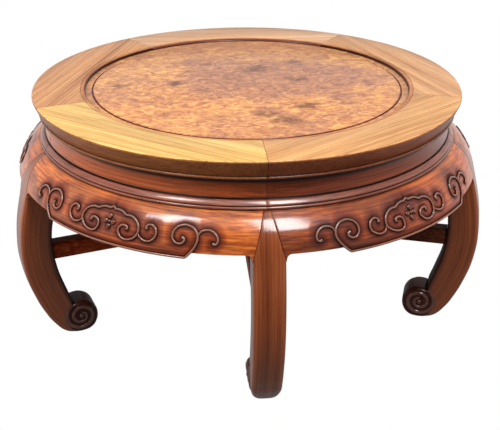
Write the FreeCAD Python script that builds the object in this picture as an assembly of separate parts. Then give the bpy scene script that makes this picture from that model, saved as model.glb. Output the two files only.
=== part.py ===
"""Round low table of joined hardwood: five cabriole legs with scroll feet, bulging aprons, a waist,
a segmented top frame and a floating burl panel. Millimetres, +Z up, origin on the floor under the centre."""

import os

import FreeCAD, Part
from FreeCAD import Vector
from math import cos, radians, sin, sqrt

# Overall
leg_count = 5
top_diameter = 840.0
table_height = 482.0

# Fits between pieces
joint_gap = 0.2          # between curved or sloping faces that are fitted to each other
tenon_gap = 0.2          # round a tenon, a tongue or a spline
peg_gap = 0.1            # round a peg

# Top frame
frame_thickness = 38.0
frame_width = 101.0      # rim to opening
rim_lean = 12.0          # how far the rim's face leans in, top to bottom
rim_arris = 1.5
bead_height = 6.0        # half-round under the rim's face
bead_setback = 13.0
inlay_line_offset = 8.0  # opening to the incised line round it
inlay_line_width = 2.0
inlay_line_depth = 1.2

# Loose spline across each joint of the frame
spline_length = 50.0
spline_width = 36.0
spline_thickness = 6.0
spline_inset = 21.0      # rim to spline
spline_lift = 16.0       # underside of the frame to spline

# Burl panel
panel_thickness = 12.0
panel_drop = 5.0         # raised field below the frame's top
panel_margin = 16.0      # opening to raised field
tongue_drop = 6.5        # margin below the frame's top
tongue_thickness = 7.0
tongue_reach = 7.0       # tongue inside the groove
groove_spare = 3.0       # room left for the panel to swell

# Battens under the panel
batten_spacing = 300.0
batten_width = 30.0
batten_height = 20.0
batten_tenon_length = 14.0
batten_tenon_width = 20.0
batten_tenon_thickness = 10.0
dovetail_neck = 15.0
dovetail_width = 19.0
dovetail_depth = 5.0
dovetail_end = 45.0      # plain stretch at each end of the batten

# Waist
waist_setback = 23.0     # rim to the waist's hollow
waist_height = 35.0
waist_thickness = 16.0
waist_hollow = 3.0       # how deep the waist's face is hollowed
waist_tongue_height = 5.0
waist_tongue_thickness = 6.0
waist_tongue_inset = 4.0  # inner face of the waist to its tongue

# Stepped moulding
moulding_height = 18.0
moulding_reach = 14.0    # waist's hollow to the lower bead
lower_bead_height = 6.0
torus_setback = 3.0      # lower bead to the swell of the upper one
torus_swell_height = 2.7  # quirk to the widest line of the upper bead
torus_shoulder_height = 6.8  # quirk to a point of its round shoulder
torus_shoulder_setback = 2.4
quirk_depth = 3.0        # groove between the two beads
quirk_height = 1.5
waist_quirk_height = 1.5  # groove between the upper bead and the waist

# Aprons
apron_lip = 3.0          # lower bead to the top edge of the apron
apron_depth = 69.5       # top edge to the middle of the lower edge
apron_bulge = 45.5       # top edge to lower edge, outwards
crest_reach, crest_drop = 17.3, 13.2  # two points of the bulge, from the top edge
flank_reach, flank_drop = 30.0, 29.2
apron_wall = 26.0
apron_end_rise = 10.0    # ends of the lower edge above its middle
cusp_position = 147.0    # middle of the apron to the step in its lower edge
cusp_width = 6.0
corner_radius = 13.0     # lower edge into the leg
apron_tongue_inset = 8.0  # inner edge of the apron's top to the tongue that the moulding sits on
apron_tongue_thickness = 8.0
apron_tongue_height = 8.0
apron_tongue_end = 24.0  # leg's centre line to the tongue's end

# Legs: reach is measured outwards from the top edge of the apron, height from the floor
leg_width = 56.0
foot_width = 63.0
leg_edge_radius = 5.0
foot_corner_radius = 20.0  # bottom corners of the foot, seen from the front
shoulder_tip_width = 13.0  # width of the pointed shoulder at its top
belly_reach, belly_height = 64.0, 220.0
calf_reach, calf_height = 60.0, 152.0
ankle_reach, ankle_height = 44.0, 95.0
heel_reach, heel_height = 16.0, 37.0
ball_reach, ball_height = -7.0, 11.0
sole_reach = -31.0
scroll_radius = 40.0     # underside of the foot
curl_radius = 33.0       # top of the curl
eye_reach_radius = 31.0  # where the curl turns in against the leg
sole_flat_depth = 1.0    # cut off the bottom, so that the foot stands flat
instep_angle = 20.0      # where the leg meets the curl, past its top
inner_ankle_reach, inner_ankle_height = -17.0, 105.0
inner_calf_reach, inner_calf_height = -2.0, 160.0
inner_belly_reach, inner_belly_height = 3.0, 225.0
inner_shoulder_reach = -18.0  # behind the lower edge of the apron
post_thickness = 25.0
post_width = 44.0
post_tenon_height = 12.0
post_tenon_shoulder = 4.0

# Stretchers and hub
stretcher_height = 190.0
stretcher_size = 34.0
stretcher_edge_radius = 7.0
stretcher_tenon_length = 22.0
stretcher_tenon_width = 12.0
stretcher_tenon_depth = 16.0
hub_radius = 55.0
hub_thickness = 42.0
hub_edge_radius = 6.0

# Pegs
moulding_peg_radius = 2.0
moulding_peg_angles = (5.8, 10.5)  # from the middle of the side, towards the next leg
moulding_peg_sink = 6.0  # into the apron's tongue
apron_peg_radius = 3.5
apron_peg_drop = 23.0    # below the top edge of the apron
apron_peg_offset = 20.5  # from the leg's centre line
apron_peg_cover = 9.0    # apron left in front of the peg

# Radii and levels that follow
sector = 360.0 / leg_count
frame_radius = top_diameter / 2
opening_radius = frame_radius - frame_width
frame_bottom = table_height - frame_thickness
waist_radius = frame_radius - waist_setback
waist_inner = waist_radius + waist_hollow - waist_thickness
waist_bottom = frame_bottom - waist_height
moulding_radius = waist_radius + moulding_reach
apron_top = waist_bottom - moulding_height
apron_radius = moulding_radius + apron_lip
apron_bottom = apron_top - apron_depth
apron_end_bottom = apron_bottom + apron_end_rise
shoulder_bottom = apron_end_bottom - corner_radius
shoulder_slope = (leg_width - shoulder_tip_width) / 2 / (apron_top - shoulder_bottom)
sole_radius = apron_radius + sole_reach
scroll_level = scroll_radius - sole_flat_depth
curl_centre = sole_radius - scroll_radius + curl_radius
apron_tongue_in = apron_radius - apron_wall + apron_tongue_inset
apron_tongue_out = apron_tongue_in + apron_tongue_thickness
post_outer = sqrt(waist_inner ** 2 - (post_width / 2) ** 2) - joint_gap
post_inner = post_outer - post_thickness
far_out = top_diameter   # longer than anything that is cut

Z_AXIS = Vector(0, 0, 1)
ORIGIN = Vector(0, 0, 0)


def at(radius, height):
    """A point of a radial section, drawn in the XZ plane."""
    return Vector(radius, 0, height)


def line(start, end):
    return Part.LineSegment(start, end).toShape()


def arc(start, middle, end):
    return Part.Arc(start, middle, end).toShape()


def curve(points):
    spline = Part.BSplineCurve()
    spline.interpolate(points)
    return spline.toShape()


def moved(shape, reach):
    """A copy of a radial section's line, moved outwards."""
    copy = shape.copy()
    copy.translate(Vector(reach, 0, 0))
    return copy


def round_point(centre, radius, angle):
    """A point on a circle of a radial section; the angle counts from straight up, outwards."""
    turn = radians(angle)
    return centre + Vector(sin(turn), 0, cos(turn)) * radius


def face_of(edges):
    return Part.Face(Part.Wire(edges))


def polygon_face(points):
    return Part.Face(Part.makePolygon(points + [points[0]]))


def spin_sector(face):
    """Revolve a radial section over one sector, centred on +X."""
    solid = face.revolve(ORIGIN, Z_AXIS, sector)
    solid.rotate(ORIGIN, Z_AXIS, -sector / 2)
    return solid


def slab(face, width):
    """Thicken a section drawn in the XZ plane, evenly to both sides."""
    solid = face.extrude(Vector(0, width, 0))
    solid.translate(Vector(0, -width / 2, 0))
    return solid


def box(low, high):
    return Part.makeBox(high.x - low.x, high.y - low.y, high.z - low.z, low)


def turned(shape, angle):
    copy = shape.copy()
    copy.rotate(ORIGIN, Z_AXIS, angle)
    return copy


def leg_angle(number):
    """Leg 1 stands at the front, along -Y; the others follow counter-clockwise from above."""
    return -90 + sector * (number - 1)


def side_angle(number):
    """Middle of the side between one leg and the next."""
    return leg_angle(number) + sector / 2


def export(name, shape):
    shape.exportStep("parts/%s.step" % name)


# The outer line of apron and leg, in one sweep from the apron's top edge to the sole
shoulder_line = [
    at(apron_radius, apron_top),
    at(apron_radius + crest_reach, apron_top - crest_drop),
    at(apron_radius + flank_reach, apron_top - flank_drop),
    at(apron_radius + apron_bulge, apron_bottom),
]
leg_line = [
    at(apron_radius + belly_reach, belly_height),
    at(apron_radius + calf_reach, calf_height),
    at(apron_radius + ankle_reach, ankle_height),
    at(apron_radius + heel_reach, heel_height),
    at(apron_radius + ball_reach, ball_height),
    at(sole_radius, -sole_flat_depth),
]
outer_line = curve(shoulder_line + leg_line)


def shoulder_wedge(growth):
    """The pointed shoulder of a leg on +X, between the two aprons that meet there."""
    tip = shoulder_tip_width / 2 + growth
    base = leg_width / 2 + growth
    spread = shoulder_slope * corner_radius
    points = [
        Vector(0, -tip, apron_top),
        Vector(0, tip, apron_top),
        Vector(0, base, shoulder_bottom),
        Vector(0, base + spread, shoulder_bottom - corner_radius),
        Vector(0, -base - spread, shoulder_bottom - corner_radius),
        Vector(0, -base, shoulder_bottom),
    ]
    return polygon_face(points).extrude(Vector(far_out, 0, 0))


def wall_between(inner, outer):
    """The sector between two lines like the outer line, from the shoulder's foot to the apron's top."""
    top = line(inner.Vertexes[0].Point, outer.Vertexes[0].Point)
    bottom = line(inner.Vertexes[-1].Point, outer.Vertexes[-1].Point)
    wall = spin_sector(face_of([top, outer, bottom, inner]))
    low = Vector(0, -far_out, shoulder_bottom)
    return wall.common(box(low, Vector(far_out, far_out, apron_top)))


def make_panel():
    bottom = table_height - panel_drop - panel_thickness
    field = Part.makeCylinder(opening_radius - panel_margin, panel_thickness, at(0, bottom))
    tongue_bottom = table_height - tongue_drop - tongue_thickness
    tongue = Part.makeCylinder(opening_radius + tongue_reach, tongue_thickness, at(0, tongue_bottom))
    return field.fuse(tongue).removeSplitter()


def frame_section():
    """Section of the top frame: rim, bead, groove for the waist, groove for the panel, incised line."""
    top = table_height
    bottom = frame_bottom
    bead_top = bottom + bead_height
    bead_root = frame_radius - bead_setback
    bead_crest = at(bead_root + bead_height / 2, bottom + bead_height / 2)
    rim_foot = at(frame_radius - rim_lean, bead_top + rim_arris)
    groove_in = waist_inner + waist_tongue_inset - tenon_gap
    groove_out = groove_in + waist_tongue_thickness + 2 * tenon_gap
    groove_top = bottom + waist_tongue_height + tenon_gap
    slot_low = top - tongue_drop - tongue_thickness - tenon_gap
    slot_high = top - tongue_drop + tenon_gap
    slot_back = opening_radius + tongue_reach + groove_spare
    line_middle = opening_radius + inlay_line_offset
    half_line = inlay_line_width / 2
    corners = [
        at(bead_root, bottom),
        at(groove_out, bottom),
        at(groove_out, groove_top),
        at(groove_in, groove_top),
        at(groove_in, bottom),
        at(opening_radius, bottom),
        at(opening_radius, slot_low),
        at(slot_back, slot_low),
        at(slot_back, slot_high),
        at(opening_radius, slot_high),
        at(opening_radius, top),
        at(line_middle - half_line, top),
        at(line_middle, top - inlay_line_depth),
        at(line_middle + half_line, top),
        at(frame_radius - rim_arris, top),
        at(frame_radius, top - rim_arris),
        rim_foot,
        at(bead_root, bead_top),
    ]
    edges = [line(start, end) for start, end in zip(corners, corners[1:])]
    edges.append(arc(corners[-1], bead_crest, corners[0]))
    return face_of(edges)


def spline_block(growth):
    """Loose spline across the joint that lies on +X."""
    outer = frame_radius - spline_inset
    bottom = frame_bottom + spline_lift
    low = Vector(outer - spline_length - growth, -spline_width / 2 - growth, bottom - growth)
    high = Vector(outer + growth, spline_width / 2 + growth, bottom + spline_thickness + growth)
    return box(low, high)


def post_tenon(growth):
    """Tenon on top of a leg on +X, shared by the two frame segments that meet above it."""
    half = post_width / 2 - post_tenon_shoulder + growth
    low = Vector(post_inner + post_tenon_shoulder - growth, -half, frame_bottom)
    high = Vector(post_outer - post_tenon_shoulder + growth, half, frame_bottom + post_tenon_height + growth)
    return box(low, high)


def batten_tenon(place, growth):
    """Bar through both end tenons of the batten at the given Y."""
    reach = sqrt(opening_radius ** 2 - place ** 2) + batten_tenon_length + growth
    half = batten_tenon_width / 2 + growth
    middle = table_height - panel_drop - panel_thickness - batten_height / 2
    rise = batten_tenon_thickness / 2 + growth
    return box(Vector(-reach, place - half, middle - rise), Vector(reach, place + half, middle + rise))


def batten_dovetail(place, growth):
    """Dovetailed ridge that slides into the panel's underside."""
    foot = table_height - panel_drop - panel_thickness
    neck = dovetail_neck / 2 + growth
    crest = dovetail_width / 2 + growth
    rise = dovetail_depth + growth
    reach = sqrt(opening_radius ** 2 - place ** 2) - dovetail_end + growth
    points = [
        Vector(-reach, place - neck, foot),
        Vector(-reach, place + neck, foot),
        Vector(-reach, place + crest, foot + rise),
        Vector(-reach, place - crest, foot + rise),
    ]
    return polygon_face(points).extrude(Vector(2 * reach, 0, 0))


def make_batten(place):
    top = table_height - panel_drop - panel_thickness
    half = batten_width / 2
    low = Vector(-far_out, place - half, top - batten_height)
    bar = box(low, Vector(far_out, place + half, top))
    inside = Part.makeCylinder(opening_radius - joint_gap, batten_height, at(0, top - batten_height))
    return bar.common(inside).fuse([batten_tenon(place, 0), batten_dovetail(place, 0)]).removeSplitter()


def waist_section():
    """Section of the waist, hollowed outside, with a tongue that goes up into the frame."""
    outer = waist_radius + waist_hollow
    tongue_in = waist_inner + waist_tongue_inset
    tongue_out = tongue_in + waist_tongue_thickness
    tongue_top = frame_bottom + waist_tongue_height
    corners = [
        at(outer, frame_bottom),
        at(tongue_out, frame_bottom),
        at(tongue_out, tongue_top),
        at(tongue_in, tongue_top),
        at(tongue_in, frame_bottom),
        at(waist_inner, frame_bottom),
        at(waist_inner, waist_bottom),
        at(outer, waist_bottom),
    ]
    edges = [line(start, end) for start, end in zip(corners, corners[1:])]
    middle = at(waist_radius, (frame_bottom + waist_bottom) / 2)
    edges.append(arc(corners[-1], middle, corners[0]))
    return face_of(edges)


def moulding_section():
    """Section of the moulding: a small bead at the bottom, a quirk, then a swelling upper bead."""
    bead_top = apron_top + lower_bead_height
    root = moulding_radius - quirk_depth
    torus_low = bead_top + quirk_height
    torus_high = waist_bottom - waist_quirk_height
    torus_root = moulding_radius - torus_setback
    torus_top = waist_radius + waist_hollow
    swell = at(torus_root, torus_low + torus_swell_height)
    shoulder = at(torus_root - torus_shoulder_setback, torus_low + torus_shoulder_height)
    edges = [
        line(at(waist_inner, waist_bottom), at(waist_inner, apron_top)),
        line(at(waist_inner, apron_top), at(root, apron_top)),
        arc(
            at(root, apron_top),
            at(moulding_radius, apron_top + lower_bead_height / 2),
            at(root, bead_top),
        ),
        line(at(root, bead_top), at(root, torus_low)),
        line(at(root, torus_low), swell),
        arc(swell, shoulder, at(torus_top, torus_high)),
        line(at(torus_top, torus_high), at(torus_top, waist_bottom)),
        line(at(torus_top, waist_bottom), at(waist_inner, waist_bottom)),
    ]
    return face_of(edges)


def apron_tongue(growth):
    """Ridge along the top of an apron on +X, which the moulding sits on."""
    inner = apron_tongue_in - growth
    outer = apron_tongue_out + growth
    top = apron_top + apron_tongue_height + growth
    corners = [at(inner, apron_top), at(outer, apron_top), at(outer, top), at(inner, top)]
    return spin_sector(polygon_face(corners))


def moulding_peg(angle, growth):
    """Peg driven level through the lower bead of the moulding into the apron's tongue."""
    end = apron_tongue_out - moulding_peg_sink - growth
    base = at(end, apron_top + lower_bead_height / 2)
    length = moulding_radius + moulding_peg_radius - end
    peg = Part.makeCylinder(moulding_peg_radius + growth, length, base, Vector(1, 0, 0))
    return turned(peg, angle)


def lower_edge_cut():
    """What is sawn off below the middle of an apron on +X: its ends rise in a step."""
    half = (apron_radius + apron_bulge) * sin(radians(sector / 2))
    floor = shoulder_bottom - corner_radius
    points = [
        Vector(0, -half, floor),
        Vector(0, -half, apron_end_bottom),
        Vector(0, -cusp_position - cusp_width, apron_end_bottom),
        Vector(0, -cusp_position, apron_bottom),
        Vector(0, cusp_position, apron_bottom),
        Vector(0, cusp_position + cusp_width, apron_end_bottom),
        Vector(0, half, apron_end_bottom),
        Vector(0, half, floor),
    ]
    cut = polygon_face(points).extrude(Vector(far_out, 0, 0))
    for turn in (-sector / 2, sector / 2):
        cut = cut.cut(turned(corner_keep(), turn))
    return cut


def corner_keep():
    """The rounded corners that stay on the aprons beside a leg on +X."""
    half = leg_width / 2
    floor = shoulder_bottom - corner_radius
    top = apron_end_bottom + corner_radius
    reach = half + corner_radius
    keep = box(Vector(0, -reach, floor), Vector(far_out, reach, top))
    for side in (-1, 1):
        hollow = Part.makeCylinder(
            corner_radius, far_out, Vector(0, side * reach, shoulder_bottom), Vector(1, 0, 0)
        )
        keep = keep.cut(hollow)
    return keep


def apron_peg(side, growth):
    """Peg driven from inside through a leg on +X into the end of an apron."""
    level = apron_top - apron_peg_drop
    start = post_inner - post_thickness
    face_point = outer_line.distToShape(line(at(start, level), at(far_out, level)))[1][0][0]
    end = face_point.x - apron_peg_cover
    base = Vector(start, side * apron_peg_offset, level)
    return Part.makeCylinder(apron_peg_radius + growth, end - start + growth, base, Vector(1, 0, 0))


def make_apron(wedge, pegs):
    apron = wall_between(moved(outer_line, -apron_wall), outer_line).cut(lower_edge_cut())
    tongue = apron_tongue(0)
    over_leg = box(Vector(0, -apron_tongue_end, apron_top), Vector(far_out, apron_tongue_end, table_height))
    for turn in (-sector / 2, sector / 2):
        tongue = tongue.cut(turned(over_leg, turn))
        apron = apron.cut(turned(wedge, turn))
        for peg in pegs:
            apron = apron.cut(turned(peg, turn))
    for angle in moulding_peg_angles:
        tongue = tongue.cut(moulding_peg(angle, peg_gap))
    return apron.fuse(tongue).removeSplitter()


# The foot's volute: one arc under the sole and round the toe, one over the top to the instep
sole = at(sole_radius, -sole_flat_depth)
low_centre = at(sole_radius, scroll_level)
high_centre = at(curl_centre, scroll_level)
toe = round_point(low_centre, scroll_radius, -90)
sole_arc = arc(sole, round_point(low_centre, scroll_radius, -135), toe)
instep = round_point(high_centre, curl_radius, instep_angle)
curl_arc = arc(toe, round_point(high_centre, curl_radius, -45), instep)


def leg_section():
    """Side view of a leg: outer sweep with some wood to spare, scroll foot, inner sweep and post."""
    rough_line = moved(outer_line, leg_edge_radius)
    inner_line = curve(
        [
            instep,
            at(apron_radius + inner_ankle_reach, inner_ankle_height),
            at(apron_radius + inner_calf_reach, inner_calf_height),
            at(apron_radius + inner_belly_reach, inner_belly_height),
            at(apron_radius + inner_shoulder_reach, apron_bottom),
            at(post_inner, apron_top + moulding_height / 2),
        ]
    )
    post_corners = [
        at(post_inner, apron_top + moulding_height / 2),
        at(post_inner, frame_bottom),
        at(post_outer, frame_bottom),
        at(post_outer, apron_top),
        at(apron_radius + leg_edge_radius, apron_top),
    ]
    post = [line(start, end) for start, end in zip(post_corners, post_corners[1:])]
    sole_line = line(sole + Vector(leg_edge_radius, 0, 0), sole)
    return face_of([rough_line, sole_line, sole_arc, curl_arc, inner_line] + post)


def round_limit():
    """All that lies inside the outer line turned about the table's axis, over one sector."""
    corners = [
        sole,
        at(hub_radius, -sole_flat_depth),
        at(hub_radius, frame_bottom),
        at(apron_radius, frame_bottom),
        at(apron_radius, apron_top),
    ]
    edges = [line(start, end) for start, end in zip(corners, corners[1:])]
    return spin_sector(face_of([outer_line] + edges))


def scroll_disc():
    """The curl of the foot, a little wider than the leg."""
    eye = round_point(high_centre, curl_radius - eye_reach_radius, instep_angle)
    side = round_point(eye, eye_reach_radius, 90)
    disc = face_of(
        [
            sole_arc,
            curl_arc,
            arc(instep, round_point(eye, eye_reach_radius, (instep_angle + 90) / 2), side),
            arc(side, round_point(eye, (eye_reach_radius + curl_radius) / 2, 120), sole),
        ]
    )
    return slab(disc, foot_width)


def foot_outline():
    """Front view of a leg with room to spare above: rounded bottom corners, and a sole cut flat."""
    half = foot_width / 2
    inset = half - foot_corner_radius
    bend = foot_corner_radius * (1 - cos(radians(45)))
    low, high = 0, table_height
    edges = [
        line(Vector(0, half, high), Vector(0, -half, high)),
        line(Vector(0, -half, high), Vector(0, -half, foot_corner_radius)),
        arc(Vector(0, -half, foot_corner_radius), Vector(0, bend - half, bend), Vector(0, -inset, low)),
        line(Vector(0, -inset, low), Vector(0, inset, low)),
        arc(Vector(0, inset, low), Vector(0, half - bend, bend), Vector(0, half, foot_corner_radius)),
        line(Vector(0, half, foot_corner_radius), Vector(0, half, high)),
    ]
    return face_of(edges).extrude(Vector(far_out, 0, 0))


def leg_body():
    """Leg and foot in one piece, with rounded long edges, before the joints are cut."""
    above_floor = box(Vector(0, -far_out, 0), Vector(far_out, far_out, far_out))
    leg = slab(leg_section(), leg_width).common(above_floor).common(round_limit()).Solids[0]
    on_sides = []
    for edge in leg.Edges:
        middle = edge.valueAt((edge.FirstParameter + edge.LastParameter) / 2)
        if abs(abs(middle.y) - leg_width / 2) < 1e-6:
            on_sides.append((middle.x, edge))
    on_sides.sort(key=lambda pair: pair[0])
    outermost = [edge for reach, edge in on_sides[-2:]]
    leg = leg.makeFillet(leg_edge_radius, outermost)
    return leg.fuse(scroll_disc()).common(foot_outline())


def make_leg(body, wedge, pegs, mortise):
    aprons_from = moved(outer_line, -apron_wall - joint_gap)
    apron_room = wall_between(aprons_from, moved(outer_line, apron_wall)).cut(wedge)
    for side in (-1, 1):
        low = Vector(0, min(side * post_width / 2, side * far_out), apron_top)
        high = Vector(far_out, max(side * post_width / 2, side * far_out), table_height)
        body = body.cut(box(low, high))
    leg = body.cut(apron_room).fuse(post_tenon(0))
    for peg in pegs:
        leg = leg.cut(peg)
    return leg.cut(mortise).removeSplitter()


def stretcher_tenon(growth):
    """Bar along a stretcher on +X, from its tenon in the hub to its tenon in the leg."""
    inner = hub_radius - stretcher_tenon_length - growth
    outer = apron_radius + inner_calf_reach + stretcher_tenon_length + growth
    half = stretcher_tenon_width / 2 + growth
    rise = stretcher_tenon_depth / 2 + growth
    low = Vector(inner, -half, stretcher_height - rise)
    return box(low, Vector(outer, half, stretcher_height + rise))


def make_stretcher(body):
    half = stretcher_size / 2
    end = apron_radius + inner_belly_reach
    low = Vector(0, -half, stretcher_height - half)
    bar = box(low, Vector(end, half, stretcher_height + half))
    long_edges = [edge for edge in bar.Edges if abs(edge.Length - end) < 1e-6]
    bar = bar.makeFillet(stretcher_edge_radius, long_edges)
    hub_room = Part.makeCylinder(hub_radius + joint_gap, table_height)
    leg_room = body.copy()
    leg_room.translate(Vector(-joint_gap, 0, 0))
    return bar.cut(hub_room).cut(leg_room).fuse(stretcher_tenon(0)).removeSplitter()


def make_hub():
    hub = Part.makeCylinder(hub_radius, hub_thickness, at(0, stretcher_height - hub_thickness / 2))
    rims = [edge for edge in hub.Edges if edge.Closed]
    hub = hub.makeFillet(hub_edge_radius, rims)
    for number in range(1, leg_count + 1):
        hub = hub.cut(turned(stretcher_tenon(tenon_gap), leg_angle(number)))
    return hub


os.makedirs("parts", exist_ok=True)

# Battens and panel
batten_places = [-batten_spacing / 2, batten_spacing / 2]
panel = make_panel()
for number, place in enumerate(batten_places, 1):
    panel = panel.cut(batten_dovetail(place, tenon_gap))
    export("panel_batten_%d" % number, make_batten(place))
export("burl_panel", panel)

# Top frame, with its mortises for splines, legs and battens
frame_segment = spin_sector(frame_section())
for turn in (-sector / 2, sector / 2):
    frame_segment = frame_segment.cut(turned(spline_block(tenon_gap), turn))
    frame_segment = frame_segment.cut(turned(post_tenon(tenon_gap), turn))
for number in range(1, leg_count + 1):
    segment = turned(frame_segment, side_angle(number))
    for place in batten_places:
        segment = segment.cut(batten_tenon(place, tenon_gap))
    export("top_frame_segment_%d" % number, segment)
    export("frame_spline_%d" % number, turned(spline_block(0), leg_angle(number)))

# Waist and moulding
waist = spin_sector(waist_section())
plain_moulding = spin_sector(moulding_section())
moulding = plain_moulding.cut(apron_tongue(tenon_gap))
moulding_pegs = []
for angle in moulding_peg_angles:
    moulding = moulding.cut(moulding_peg(angle, peg_gap))
    moulding_pegs.append(moulding_peg(angle, 0).common(plain_moulding))

# Legs and aprons, with the pegs between them
wedge = shoulder_wedge(0)
body = leg_body()
peg_holes = [apron_peg(side, peg_gap) for side in (-1, 1)]
apron_pegs = [apron_peg(side, 0).common(body) for side in (-1, 1)]
leg = make_leg(body, wedge, peg_holes, stretcher_tenon(tenon_gap))
apron = make_apron(shoulder_wedge(joint_gap), peg_holes)
stretcher = make_stretcher(body)

all_moulding_pegs = []
all_apron_pegs = []
for number in range(1, leg_count + 1):
    at_leg = leg_angle(number)
    at_side = side_angle(number)
    export("waist_%d" % number, turned(waist, at_side))
    export("moulding_%d" % number, turned(moulding, at_side))
    export("apron_%d" % number, turned(apron, at_side))
    export("leg_%d" % number, turned(leg, at_leg))
    export("stretcher_%d" % number, turned(stretcher, at_leg))
    all_moulding_pegs += [turned(peg, at_side) for peg in moulding_pegs]
    all_apron_pegs += [turned(peg, at_leg) for peg in apron_pegs]
export("moulding_pegs", Part.makeCompound(all_moulding_pegs))
export("apron_pegs", Part.makeCompound(all_apron_pegs))
export("stretcher_hub", make_hub())
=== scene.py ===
import bisect
from math import asin, cos, pi, radians, sin, sqrt

import bmesh
import bpy
from mathutils import Matrix, Vector
from mathutils.kdtree import KDTree


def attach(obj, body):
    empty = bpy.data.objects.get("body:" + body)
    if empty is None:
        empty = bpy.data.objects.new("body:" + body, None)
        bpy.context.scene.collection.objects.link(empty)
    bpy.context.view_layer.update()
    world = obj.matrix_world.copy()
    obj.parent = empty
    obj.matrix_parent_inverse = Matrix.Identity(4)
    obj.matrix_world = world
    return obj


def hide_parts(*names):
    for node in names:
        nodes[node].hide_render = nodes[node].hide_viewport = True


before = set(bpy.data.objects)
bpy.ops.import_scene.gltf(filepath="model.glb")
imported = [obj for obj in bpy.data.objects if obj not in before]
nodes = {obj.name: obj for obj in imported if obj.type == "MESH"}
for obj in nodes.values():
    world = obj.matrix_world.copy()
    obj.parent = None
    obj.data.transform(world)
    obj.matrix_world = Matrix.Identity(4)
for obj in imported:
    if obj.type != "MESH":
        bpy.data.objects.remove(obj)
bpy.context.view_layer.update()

# Legs
# Each leg is sawn from one thick plank of dark hardwood, then rounded and polished by hand. Its pointed
# shoulder is let in flush between two aprons, and its foot rolls inwards into a carved scroll.
mm = 0.001                 # sizes here are in millimetres, the frame is in metres
side_count = 5
sides = range(1, side_count + 1)
sector = 2 * pi / side_count
apron_top = 391
apron_bottom = 321.5
shoulder_foot = 318.5      # where the pointed shoulder has widened to the whole leg
shoulder_tip_half = 6.3
leg_half = 28
leg_edge = 8
seam_edge = 0.8
edge_run = 12              # below the shoulder the edges grow round over this drop
corner_steps = 4
face_shares = (0.66, 0.33, 0, -0.33, -0.66)
foot_half = 31.5
sole_round = (9, 16, 3)    # bottom corners of a foot, seen from the front: width, height and start
front_leg, front_sole_round = 1, (18, 45, 9)   # the foot that stands out in front is worn rounder
post_inner, post_outer, post_half = 358.2, 383.2, 22
post_foot, post_top = 385, 444
post = [
    (post_inner, post_foot), (post_outer, post_foot), (post_outer, post_top), (post_inner, post_top),
]
outer_sweep = [
    (414, apron_top), (431.3, 377.8), (444, 361.8), (459.5, apron_bottom), (478, 220), (474, 152),
    (458, 95), (445, 64), (430, 37), (407, 11), (383, 0),
]
inner_sweep = [
    (386, apron_top), (392, 372), (396, 350), (398, 320), (417, 225), (412, 160),
    (397, 105), (387.5, 71), (391, 44), (387, 22), (377, 10),
]
back_block = [
    (398, 312), (432, 312), (433, 322), (417, 362), (404, 379), (387.5, apron_top),
    (post_inner + 1.5, apron_top), (post_inner + 6, 380), (378, 350),
]
scroll_outline = [
    (376, 73.5), (394.5, 67), (402.8, 56.5), (407, 41), (403.7, 25), (394, 7), (380, 0.3),
    (366, 1.5), (352.5, 9), (342.5, 22.5), (339, 38.5), (343.2, 56), (357, 69.5),
]
scroll_eye = (374.5, 43)
scroll_reach = 34          # mean radius of the scroll, whose rim is well rounded
scroll_rim = 10
scroll_ground = 1.6        # the ground is cut down between the turns of the spiral
spiral_start, spiral_end = 31, 7   # radius of the ridge at the rim and at the eye
spiral_first = 30          # degrees from the top to where the ridge starts
spiral_turns = 1.9
spiral_steps = 110
spiral_thick, spiral_thin = 5, 3.6
spiral_sink = 0.6          # share of the ridge's thickness that lies under the ground
eye_size = (4.5, 2.6, 4.5)
crease_angle = 38          # degrees past which two faces meet in a sharp edge
matt_roughness = 0.6       # of wood that no cloth polishes
coat_roughness = 0.17
corner_shade_reach = 12          # how far the painted shade reaches out of a corner
pore_depth = 0.3


def within(share):
    """A share, kept between none and all."""
    return min(max(share, 0), 1)


def leg_turn(number):
    """Leg 1 stands at the front, along -Y, and the others follow counter-clockwise from above."""
    return -pi / 2 + sector * (number - 1)


def smooth_line(points, steps, closed=False):
    """A smooth line through a few given points, as a list of closer points."""
    curve = bpy.data.curves.new("line", "CURVE")
    curve.dimensions = "3D"
    spline = curve.splines.new("BEZIER")
    spline.resolution_u = steps
    spline.use_cyclic_u = closed
    spline.bezier_points.add(len(points) - 1)
    for knot, point in zip(spline.bezier_points, points):
        knot.co = (*point, 0)
        knot.handle_left_type = "AUTO"
        knot.handle_right_type = "AUTO"
    carrier = bpy.data.objects.new("line", curve)
    mesh = bpy.data.meshes.new_from_object(carrier)
    line = [(vertex.co.x, vertex.co.y) for vertex in mesh.vertices]
    bpy.data.objects.remove(carrier)
    bpy.data.curves.remove(curve)
    bpy.data.meshes.remove(mesh)
    return line


def loft(bm, rings):
    """A closed skin over a row of rings that all have the same number of points."""
    loops = []
    for ring in rings:
        corners = [bm.verts.new(point) for point in ring]
        loops.append([bm.edges.new(pair) for pair in zip(corners, corners[1:] + corners[:1])])
    for before, after in zip(loops, loops[1:]):
        bmesh.ops.bridge_loops(bm, edges=before + after)
    bmesh.ops.holes_fill(bm, edges=loops[0] + loops[-1], sides=0)


def slab(bm, outline, half):
    """A solid sawn to an outline that is drawn in the leg's own plane, and its two flat faces."""
    corners = [bm.verts.new((reach, -half, height)) for reach, height in outline]
    near = bm.faces.new(corners)
    grown = bmesh.ops.extrude_face_region(bm, geom=[near], use_keep_orig=True)["geom"]
    moved = [part for part in grown if isinstance(part, bmesh.types.BMVert)]
    far = [part for part in grown if isinstance(part, bmesh.types.BMFace)][0]
    bmesh.ops.translate(bm, verts=moved, vec=(0, 2 * half, 0))
    return [near, far]


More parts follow.
